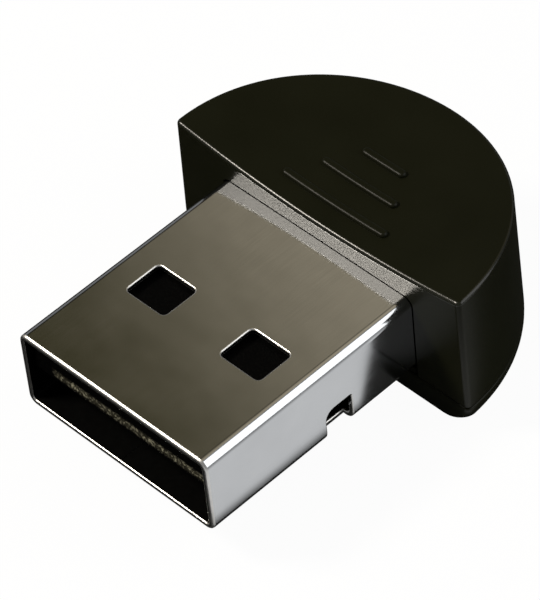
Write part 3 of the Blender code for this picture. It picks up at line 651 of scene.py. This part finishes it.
def head_ring(bm, inset, corner, height, face_inset=None):
    """A closed D of edges at a height: straight front, two round corners, half an ellipse."""
    side = HEAD_WIDTH / 2 - inset
    depth = FACE_Y + HEAD_DEPTH - ARC_Y - inset
    face = FACE_Y + (inset if face_inset is None else face_inset)
    turn = asin((face + corner - ARC_Y) / depth)
    half_width = side / cos(turn)
    known = set(bm.verts)
    reach = side - corner
    bmesh.ops.spin(
        bm, geom=[bm.verts.new((-reach, face, 0.0))], cent=(0.0, 0.0, 0.0), axis=(0.0, 0.0, 1.0),
        dvec=(2 * reach / FRONT_STEPS, 0.0, 0.0), angle=0.0, steps=FRONT_STEPS,
    )
    for way in (-1, 1):
        bmesh.ops.spin(
            bm, geom=[bm.verts.new((way * reach, face, 0.0))],
            cent=(way * reach, face + corner, 0.0), axis=(0.0, 0.0, way),
            angle=pi / 2, steps=CORNER_STEPS,
        )
    straight = set(bm.verts)
    nose = bm.verts.new((side, ARC_Y + half_width * sin(turn), 0.0))
    bmesh.ops.spin(
        bm, geom=[nose], cent=(0.0, ARC_Y, 0.0), axis=(0.0, 0.0, 1.0),
        angle=pi - 2 * turn, steps=NOSE_STEPS,
    )
    curved = [vert for vert in bm.verts if vert not in straight]
    bmesh.ops.scale(
        bm, vec=(1.0, depth / half_width, 1.0), verts=curved,
        space=Matrix.Translation((0.0, -ARC_Y, 0.0)),
    )
    ring = [vert for vert in bm.verts if vert not in known]
    bmesh.ops.remove_doubles(bm, verts=ring, dist=RING_MERGE)
    ring = [vert for vert in bm.verts if vert not in known]
    for vert in ring:
        vert.co.z = height(vert.co.x, vert.co.y) if callable(height) else height
    return list({edge for vert in ring for edge in vert.link_edges})


def drawn_towards_hub(bm, ring, share, height):
    """Moves a ring in towards a point behind the middle of the face."""
    verts = {vert for edge in ring for vert in edge.verts}
    hub = Matrix.Translation((0.0, -HUB_Y, 0.0))
    bmesh.ops.scale(bm, vec=(share, share, 1.0), verts=list(verts), space=hub)
    for vert in verts:
        vert.co.z = height(vert.co.x, vert.co.y) if callable(height) else height
    return ring


def skinned(bm, rings):
    """Joins each ring to the next, and closes the first and the last."""
    for near, far in zip(rings, rings[1:]):
        bmesh.ops.bridge_loops(bm, edges=near + far)
    for ring in (rings[0], rings[-1]):
        bmesh.ops.contextual_create(bm, geom=ring)


def combined(piece, bm, name, operation, crease=32.0):
    """Joins a shape to a piece or cuts it out, for good, and creases the line between them."""
    helper = piece_of(bm, name, [])
    modifier = piece.modifiers.new(name, "BOOLEAN")
    modifier.operation = operation
    modifier.object = helper
    modifier.solver = "EXACT"
    graph = bpy.context.evaluated_depsgraph_get()
    cut = bpy.data.meshes.new_from_object(piece.evaluated_get(graph))
    piece.modifiers.clear()
    old = piece.data
    cut.set_sharp_from_angle(angle=radians(crease))
    piece.data = cut
    bpy.data.meshes.remove(old)
    bpy.data.objects.remove(helper)


def block(low, high):
    """A box between two corners, in millimetres."""
    bm = bmesh.new()
    size = Vector(high) - Vector(low)
    middle = (Vector(high) + Vector(low)) / 2
    placed = Matrix.Translation(middle) @ Matrix.Diagonal((*size, 1.0))
    bmesh.ops.create_cube(bm, size=1.0, matrix=placed)
    return bm


def post(radius, x, y, low, high):
    """An upright round post, in millimetres."""
    bm = bmesh.new()
    bmesh.ops.create_cone(
        bm, cap_ends=True, segments=32, radius1=radius, radius2=radius, depth=high - low,
        matrix=Matrix.Translation((x, y, (low + high) / 2)),
    )
    return bm


tray = bmesh.new()
rim = PARTING_HEIGHT - PARTING_GAP / 2
inside = head_ring(tray, LIP_INSIDE, INNER_CORNER, FLOOR)
rings = [drawn_towards_hub(tray, inside, HUB_SHARE, FLOOR - SINK)]
rings.append(head_ring(tray, LIP_INSIDE, INNER_CORNER, FLOOR))
rings.append(head_ring(tray, LIP_INSIDE, INNER_CORNER, LIP_TOP))
rings.append(head_ring(tray, LIP_INSET, INNER_CORNER, LIP_TOP - SINK))
rings.append(head_ring(tray, LIP_INSET, INNER_CORNER, rim - SINK))
for step in range(PARTING_STEPS + 1):
    turn = pi / 2 * step / PARTING_STEPS
    inset = PARTING_EDGE * (1 - sin(turn))
    rings.append(head_ring(tray, inset, HEAD_CORNER, rim - PARTING_EDGE * (1 - cos(turn))))
wall_height = rim - PARTING_EDGE
for step in range(1, WALL_STEPS + 1):
    turn = pi / 2 * step / WALL_STEPS
    height = wall_height * (1 - sin(turn))
    face_inset = FACE_EDGE - sqrt(FACE_EDGE**2 - max(FACE_EDGE - height, 0.0) ** 2)
    inset = wall_height * (1 - cos(turn))
    corner = HEAD_CORNER + (BASE_CORNER - HEAD_CORNER) * (1 - height / wall_height)
    rings.append(head_ring(tray, inset, corner, height, face_inset))
under = head_ring(tray, wall_height, BASE_CORNER, 0.0, FACE_EDGE)
rings.append(drawn_towards_hub(tray, under, HUB_SHARE, SINK))
skinned(tray, rings)

# Black ABS moulded against a spark-eroded steel mould: the fine grain breaks up the gloss to
# a satin sheen, and the colour leans to olive. One grain is drawn 0.09 mm across, about
# twice its real size, so that it shows. Handling has polished the rim of the thumb rest.
coats = []
for name, smoothest, roughest, gloss in (
    ("satin_black_abs", 0.32, 0.42, 0.09), ("handled_rim_abs", 0.2, 0.28, 0.3),
):
    coat, tree = new_finish(name)
    place = add_node(tree, "ShaderNodeTexCoord", {}).outputs["Object"]
    grain = add_node(tree, "ShaderNodeTexNoise", {
        "Vector": place, "Scale": 1.0 / (0.09 * MM), "Detail": 3.0,
    }).outputs["Fac"]
    flow = add_node(tree, "ShaderNodeTexNoise", {
        "Vector": place, "Scale": 1.0 / (4.0 * MM), "Detail": 2.0,
    }).outputs["Fac"]
    tone = add_node(tree, "ShaderNodeMix", {
        "Factor": flow, COLOUR_A: colour("0d0e05"), COLOUR_B: colour("15160c"),
    }, data_type="RGBA").outputs[MIXED_COLOUR]
    dull = add_node(tree, "ShaderNodeMapRange", {
        "Value": grain, "From Min": 0.0, "From Max": 1.0,
        "To Min": smoothest, "To Max": roughest,
    }).outputs["Result"]
    grained = add_node(tree, "ShaderNodeBump", {
        "Height": grain, "Strength": 0.5, "Distance": 0.008 * MM,
    })
    shader = add_node(tree, "ShaderNodeBsdfPrincipled", {
        "Base Color": tone, "Roughness": dull,
        "Specular IOR Level": gloss, "Normal": grained.outputs["Normal"],
    })
    add_node(tree, "ShaderNodeOutputMaterial", {"Surface": shader.outputs["BSDF"]})
    coats.append(coat)

base = piece_of(tray, "head_base", coats)
gate = block((-GATE_HALF, FACE_Y - WALL, rim), (GATE_HALF, GATE_BACK, GATE_TOP))
combined(base, gate, "gate", "DIFFERENCE")
sill = block((-SILL_HALF, SILL_FRONT, FLOOR), (SILL_HALF, SILL_BACK, SILL_TOP))
combined(base, sill, "sill", "UNION")
for side in (-1, 1):
    shoulder = post(SHOULDER_RADIUS, side * PIN_X, PIN_Y, FLOOR / 2, SHOULDER_TOP)
    combined(base, shoulder, "shoulder", "UNION")
    pin = post(PIN_RADIUS, side * PIN_X, PIN_Y, FLOOR / 2, PIN_TOP)
    combined(base, pin, "pin", "UNION")
level_flats(base)
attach(base, "root")
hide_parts("bottom_cover")


# The cover of the head: the deep upper half of the D in the same black plastic, pushed over
# the lip of the base. Its top is a scoop for the thumb with three grip ribs, its curved wall
# leans in by the draft of the mould, and the plug comes out through a slot in its flat face.
DRAFT = radians(1.83)
TOP_WALL = 0.9
# 3 micrometres under the solid's, which keeps the rounded rim inside the solid's box.
DISH_LOW_POINT = 7.547
DISH_RADIUS = 55.0
DISH_RISE = radians(2.65)
RIM_FILLET = 0.2
RIM_STEPS = 6
RIM_NORMALS = (0.1, 0.97)
TOP_RINGS = 16
CEILING_RINGS = 4


def dish(x, y):
    """The height of the thumb rest at a place."""
    bow = DISH_RADIUS - sqrt(DISH_RADIUS**2 - x**2)
    return DISH_LOW_POINT + bow + (y - FACE_Y) * tan(DISH_RISE)


hood = bmesh.new()
foot = PARTING_HEIGHT + PARTING_GAP / 2
rim_inset = (DISH_LOW_POINT - PARTING_HEIGHT) * tan(DRAFT)


def ceiling(x, y):
    """The height of the inside of the top at a place."""
    return dish(x, y) - TOP_WALL


rings = []
for step in range(1, CEILING_RINGS + 1):
    ring = head_ring(hood, rim_inset + WALL, INNER_CORNER, 0.0)
    rings.append(drawn_towards_hub(hood, ring, step / CEILING_RINGS, ceiling))
rings.append(head_ring(hood, WALL, INNER_CORNER, foot + SINK))
for step in range(PARTING_STEPS + 1):
    turn = pi / 2 * step / PARTING_STEPS
    inset = PARTING_EDGE * (1 - sin(turn))
    rings.append(head_ring(hood, inset, HEAD_CORNER, foot + PARTING_EDGE * (1 - cos(turn))))
for step in range(RIM_STEPS + 1):
    turn = pi / 2 * step / RIM_STEPS
    inset = RIM_FILLET * (1 - cos(turn))
    drop = RIM_FILLET * (1 - sin(turn))
    rings.append(head_ring(
        hood, rim_inset + inset, HEAD_CORNER, lambda x, y, drop=drop: dish(x, y) - drop, inset
    ))
for step in range(TOP_RINGS - 1, 0, -1):
    ring = head_ring(hood, rim_inset + RIM_FILLET, HEAD_CORNER, 0.0, RIM_FILLET)
    rings.append(drawn_towards_hub(hood, ring, step / TOP_RINGS, dish))
skinned(hood, rings)
bmesh.ops.recalc_face_normals(hood, faces=hood.faces)
for face in hood.faces:
    face.material_index = 1 if RIM_NORMALS[0] < face.normal.z < RIM_NORMALS[1] else 0
cover = piece_of(hood, "head_cover", coats)

RIB_WIDTH = 0.45
RIB_PROUD = 0.2
RIB_LINES = ((3.15, 6.5), (4.77, 4.65), (6.39, 2.65))
RIB_END_SHARE = 0.48
RIB_CROWN_SHARE = 0.75
RIB_PARTS = 8
for number, (line, length) in enumerate(RIB_LINES):
    bar = block(
        (-length / 2, line - RIB_WIDTH / 2, -RIB_PROUD),
        (length / 2, line + RIB_WIDTH / 2, RIB_PROUD),
    )
    upright = [e for e in bar.edges if abs(e.verts[0].co.z - e.verts[1].co.z) > RIB_PROUD]
    bmesh.ops.bevel(
        bar, geom=upright, offset=RIB_END_SHARE * RIB_WIDTH, segments=6, profile=0.5,
        affect="EDGES", material=-1,
    )
    crown = [e for e in bar.edges if all(vert.co.z > 0 for vert in e.verts)]
    bmesh.ops.bevel(
        bar, geom=crown, offset=RIB_CROWN_SHARE * RIB_PROUD, segments=4, profile=0.5,
        affect="EDGES", material=-1,
    )
    cut_lines(bar, 0, [length * (part / RIB_PARTS - 0.5) for part in range(1, RIB_PARTS)])
    for vert in bar.verts:
        vert.co.z += dish(vert.co.x, vert.co.y)
    combined(cover, bar, f"rib_{number + 1}", "UNION")

SLOT_HALF = 6.05
SLOT_FOOT = 0.5
SLOT_TOP = 6.55
SLOT_BACK = 4.8
SLOT_CORNER = 0.5
slot = block((-SLOT_HALF, FACE_Y - WALL, SLOT_FOOT), (SLOT_HALF, SLOT_BACK, SLOT_TOP))
shoulders = [e for e in slot.edges if all(vert.co.z > SHELL_BASE for vert in e.verts)]
along = [e for e in shoulders if abs(e.verts[0].co.y - e.verts[1].co.y) > WALL]
bmesh.ops.bevel(
    slot, geom=along, offset=SLOT_CORNER, segments=6, profile=0.5, affect="EDGES", material=-1
)
combined(cover, slot, "slot", "DIFFERENCE")
level_flats(cover)
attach(cover, "root")
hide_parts("top_cover")


# The studio: a pale floor, white to the camera, whose mirror image is painted: painted shade all
# round but for a painted lit patch to the right of the plug; a grey-brown card hung over the far
# side, which glows with a tone painted for the reflection in the top of the plug; and soft lamps.
WHITE_SHARE = 0.96
PATCH_START = 7.6
PATCH_SLOPE = 1.3
PATCH_END = -10.1
PATCH_FADE = 0.4
PATCH_BRIGHT_TO = 12.0
PATCH_DIM_FROM = 26.0
PATCH_DIM_LEVEL = 0.42
FLOOR_HALF = 2000.0

pale, tree = new_finish("pale_studio_floor")
path = add_node(tree, "ShaderNodeLightPath", {}).outputs
place = add_node(tree, "ShaderNodeTexCoord", {}).outputs["Object"]
axes = add_node(tree, "ShaderNodeSeparateXYZ", {"Vector": place})
# What the floor shows in mirrors is painted: painted shade, but for a painted lit patch to the right
# of the plug, dimmer far off.
beside = add_node(tree, "ShaderNodeMapRange", {
    "Value": axes.outputs["X"],
    "From Min": PATCH_START * MM, "From Max": (PATCH_START + PATCH_FADE) * MM,
}).outputs["Result"]
leaning = add_node(tree, "ShaderNodeMath", {
    0: axes.outputs["X"], 1: -PATCH_SLOPE, 2: axes.outputs["Y"],
}, operation="MULTIPLY_ADD").outputs["Value"]
before = add_node(tree, "ShaderNodeMapRange", {
    "Value": leaning, "From Min": PATCH_END * MM, "From Max": (PATCH_END - PATCH_FADE) * MM,
}).outputs["Result"]
painted_lit_patch = add_node(tree, "ShaderNodeMath", {
    0: beside, 1: before,
}, operation="MULTIPLY").outputs["Value"]
far = add_node(tree, "ShaderNodeMapRange", {
    "Value": axes.outputs["X"],
    "From Min": PATCH_BRIGHT_TO * MM, "From Max": PATCH_DIM_FROM * MM,
    "To Min": 1.0, "To Max": PATCH_DIM_LEVEL,
}).outputs["Result"]
painted_patch_level = add_node(tree, "ShaderNodeMath", {
    0: painted_lit_patch, 1: far,
}, operation="MULTIPLY").outputs["Value"]
painted_reflection = add_node(tree, "ShaderNodeMix", {
    "Factor": painted_patch_level, COLOUR_A: colour("2c2c2a"), COLOUR_B: colour("ffffff"),
}, data_type="RGBA").outputs[MIXED_COLOUR]
sight = add_node(tree, "ShaderNodeMix", {
    "Factor": path["Is Camera Ray"], COLOUR_A: painted_reflection, COLOUR_B: colour("ffffff"),
}, data_type="RGBA").outputs[MIXED_COLOUR]
share = add_node(tree, "ShaderNodeMath", {
    0: path["Is Camera Ray"], 1: WHITE_SHARE, 2: path["Is Glossy Ray"],
}, operation="MULTIPLY_ADD").outputs["Value"]
matt = add_node(tree, "ShaderNodeBsdfDiffuse", {"Color": colour("e6e6e6")})
bright = add_node(tree, "ShaderNodeEmission", {"Color": sight, "Strength": 1.0})
mixed = add_node(tree, "ShaderNodeMixShader", {
    0: share, 1: matt.outputs["BSDF"], 2: bright.outputs["Emission"],
})
add_node(tree, "ShaderNodeOutputMaterial", {"Surface": mixed.outputs["Shader"]})
ground = bmesh.new()
bmesh.ops.create_grid(ground, x_segments=1, y_segments=1, size=FLOOR_HALF)
floor = piece_of(ground, "studio_floor", [pale])

# The card glows, and its tone and light are painted for the reflection in the top of the plug. It is
# darkest where the near end of the plug mirrors it, and its tone grows lighter from there. Its light
# is full round the spot that the top of the plug mirrors, low around that, and full again on the
# right.
CARD_SIZE = (480.0, 460.0, 1.0)
CARD_MIDDLE = Vector((-190.0, 190.0, 260.0))
TONE_START = Vector((-201.0, 132.0, 0.0))
TONE_SLOPE = 0.31
TONE_REACH = (-3.0, 40.0)
TONE_POWER = 1.5
SPOT_MIDDLE = Vector((-187.0, 148.0, 260.0))
SPOT_FADE = (40.0, 105.0)
RIGHT_FADE = (100.0, 150.0)
LOW_LEVEL = 0.08
RIGHT_LEVEL = 1.1

card_finish, tree = new_finish("painted_reflection_card")
place = add_node(tree, "ShaderNodeTexCoord", {}).outputs["Object"]
moved = add_node(tree, "ShaderNodeMapping", {"Vector": place, "Location": -TONE_START * MM})
axes = add_node(tree, "ShaderNodeSeparateXYZ", {"Vector": moved.outputs["Vector"]})
across = add_node(tree, "ShaderNodeMath", {
    0: axes.outputs["X"], 1: TONE_SLOPE, 2: axes.outputs["Y"],
}, operation="MULTIPLY_ADD").outputs["Value"]
reach = add_node(tree, "ShaderNodeMapRange", {
    "Value": across, "From Min": TONE_REACH[0] * MM, "From Max": TONE_REACH[1] * MM,
}).outputs["Result"]
fade = add_node(tree, "ShaderNodeMath", {
    0: reach, 1: TONE_POWER,
}, operation="POWER").outputs["Value"]
tone = add_node(tree, "ShaderNodeMix", {
    "Factor": fade, COLOUR_A: colour("48442c"), COLOUR_B: colour("c2b69e"),
}, data_type="RGBA").outputs[MIXED_COLOUR]
centred = add_node(tree, "ShaderNodeMapping", {"Vector": place, "Location": -SPOT_MIDDLE * MM})
outward = add_node(
    tree, "ShaderNodeVectorMath", {0: centred.outputs["Vector"]}, operation="LENGTH"
).outputs["Value"]
spot = add_node(tree, "ShaderNodeMapRange", {
    "Value": outward, "From Min": SPOT_FADE[0] * MM, "From Max": SPOT_FADE[1] * MM,
    "To Min": 1.0, "To Max": LOW_LEVEL,
}).outputs["Result"]
right_part = add_node(tree, "ShaderNodeMapRange", {
    "Value": axes.outputs["X"], "From Min": RIGHT_FADE[0] * MM, "From Max": RIGHT_FADE[1] * MM,
    "To Min": LOW_LEVEL, "To Max": RIGHT_LEVEL,
}).outputs["Result"]
shade = add_node(tree, "ShaderNodeMath", {
    0: spot, 1: right_part,
}, operation="MAXIMUM").outputs["Value"]
glow = add_node(tree, "ShaderNodeEmission", {"Color": tone, "Strength": shade})
add_node(tree, "ShaderNodeOutputMaterial", {"Surface": glow.outputs["Emission"]})
hung = bmesh.new()
bmesh.ops.create_grid(hung, x_segments=1, y_segments=1, size=0.5)
bmesh.ops.scale(hung, vec=CARD_SIZE, verts=hung.verts)
bmesh.ops.translate(hung, vec=CARD_MIDDLE, verts=hung.verts)
card = piece_of(hung, "hung_card", [card_finish])

# The room gives a low, even light, and is twice as bright to the camera and where mirrored.
ROOM_LEVEL = 0.15
ROOM_SEEN_LEVEL = 0.3

world = bpy.data.worlds.new("studio_world")
bpy.context.scene.world = world
world.use_nodes = True
tree = world.node_tree
tree.nodes.clear()
path = add_node(tree, "ShaderNodeLightPath", {}).outputs
seen = add_node(tree, "ShaderNodeMath", {
    0: path["Is Camera Ray"], 1: path["Is Glossy Ray"],
}, operation="MAXIMUM").outputs["Value"]
strength = add_node(tree, "ShaderNodeMapRange", {
    "Value": seen, "From Min": 0.0, "From Max": 1.0,
    "To Min": ROOM_LEVEL, "To Max": ROOM_SEEN_LEVEL,
}).outputs["Result"]
sky = add_node(tree, "ShaderNodeBackground", {"Color": colour("ffffff"), "Strength": strength})
add_node(tree, "ShaderNodeOutputWorld", {"Surface": sky.outputs["Background"]})


def softbox(name, direction, distance, width, height, power, tint):
    """A rectangular area lamp that faces the object; in metres and watts."""
    lamp = bpy.data.lights.new(name, "AREA")
    lamp.shape = "RECTANGLE"
    lamp.size = width
    lamp.size_y = height
    lamp.energy = power
    lamp.color = colour(tint)[:3]
    made = bpy.data.objects.new(name, lamp)
    way = Vector(direction).normalized()
    made.location = Vector((0.0, 0.0, AIM_HEIGHT * MM)) + way * distance
    made.rotation_euler = way.to_track_quat("Z", "Y").to_euler()
    bpy.context.scene.collection.objects.link(made)


# The light of the small warm key lamp comes back from the top of the plug and draws the
# strip on the face above it. The large lamp on the right draws the highlight on the bend.
AIM_HEIGHT = 4.0
softbox(
    "key_softbox", direction=(-0.49, -0.45, 0.74), distance=0.28, width=0.06, height=0.06,
    power=0.85, tint="fff6e8",
)
softbox(
    "right_softbox", direction=(0.75, 0.45, 0.5), distance=0.3, width=0.24, height=0.36,
    power=0.62, tint="ffffff",
)

# The camera stands where the photograph was taken from: to the front right of the object and
# 46 degrees above it, with a long lens and a slight roll.
CAMERA_AZIMUTH = radians(49.636)
CAMERA_ELEVATION = radians(46.323)
CAMERA_ROLL = radians(-6.423)
CAMERA_PLACE = Vector((101.567, -87.637, 144.512)) * MM
LENS_LENGTH = 256.4
SENSOR_WIDTH = 36.0
level = Vector((cos(CAMERA_AZIMUTH), sin(CAMERA_AZIMUTH), 0.0))
back = Vector((
    sin(CAMERA_AZIMUTH) * cos(CAMERA_ELEVATION),
    -cos(CAMERA_AZIMUTH) * cos(CAMERA_ELEVATION),
    sin(CAMERA_ELEVATION),
))
upward = back.cross(level)
right = level * cos(CAMERA_ROLL) + upward * sin(CAMERA_ROLL)
turned = Matrix((right, back.cross(right), back)).transposed().to_4x4()
lens = bpy.data.cameras.new("long_lens")
lens.lens = LENS_LENGTH
lens.sensor_width = SENSOR_WIDTH
lens.clip_start = 0.01
camera = bpy.data.objects.new("photo_camera", lens)
camera.matrix_world = Matrix.Translation(CAMERA_PLACE) @ turned
bpy.context.scene.collection.objects.link(camera)
bpy.context.scene.camera = camera
bpy.context.scene.view_settings.view_transform = "Standard"

bpy.context.view_layer.update()
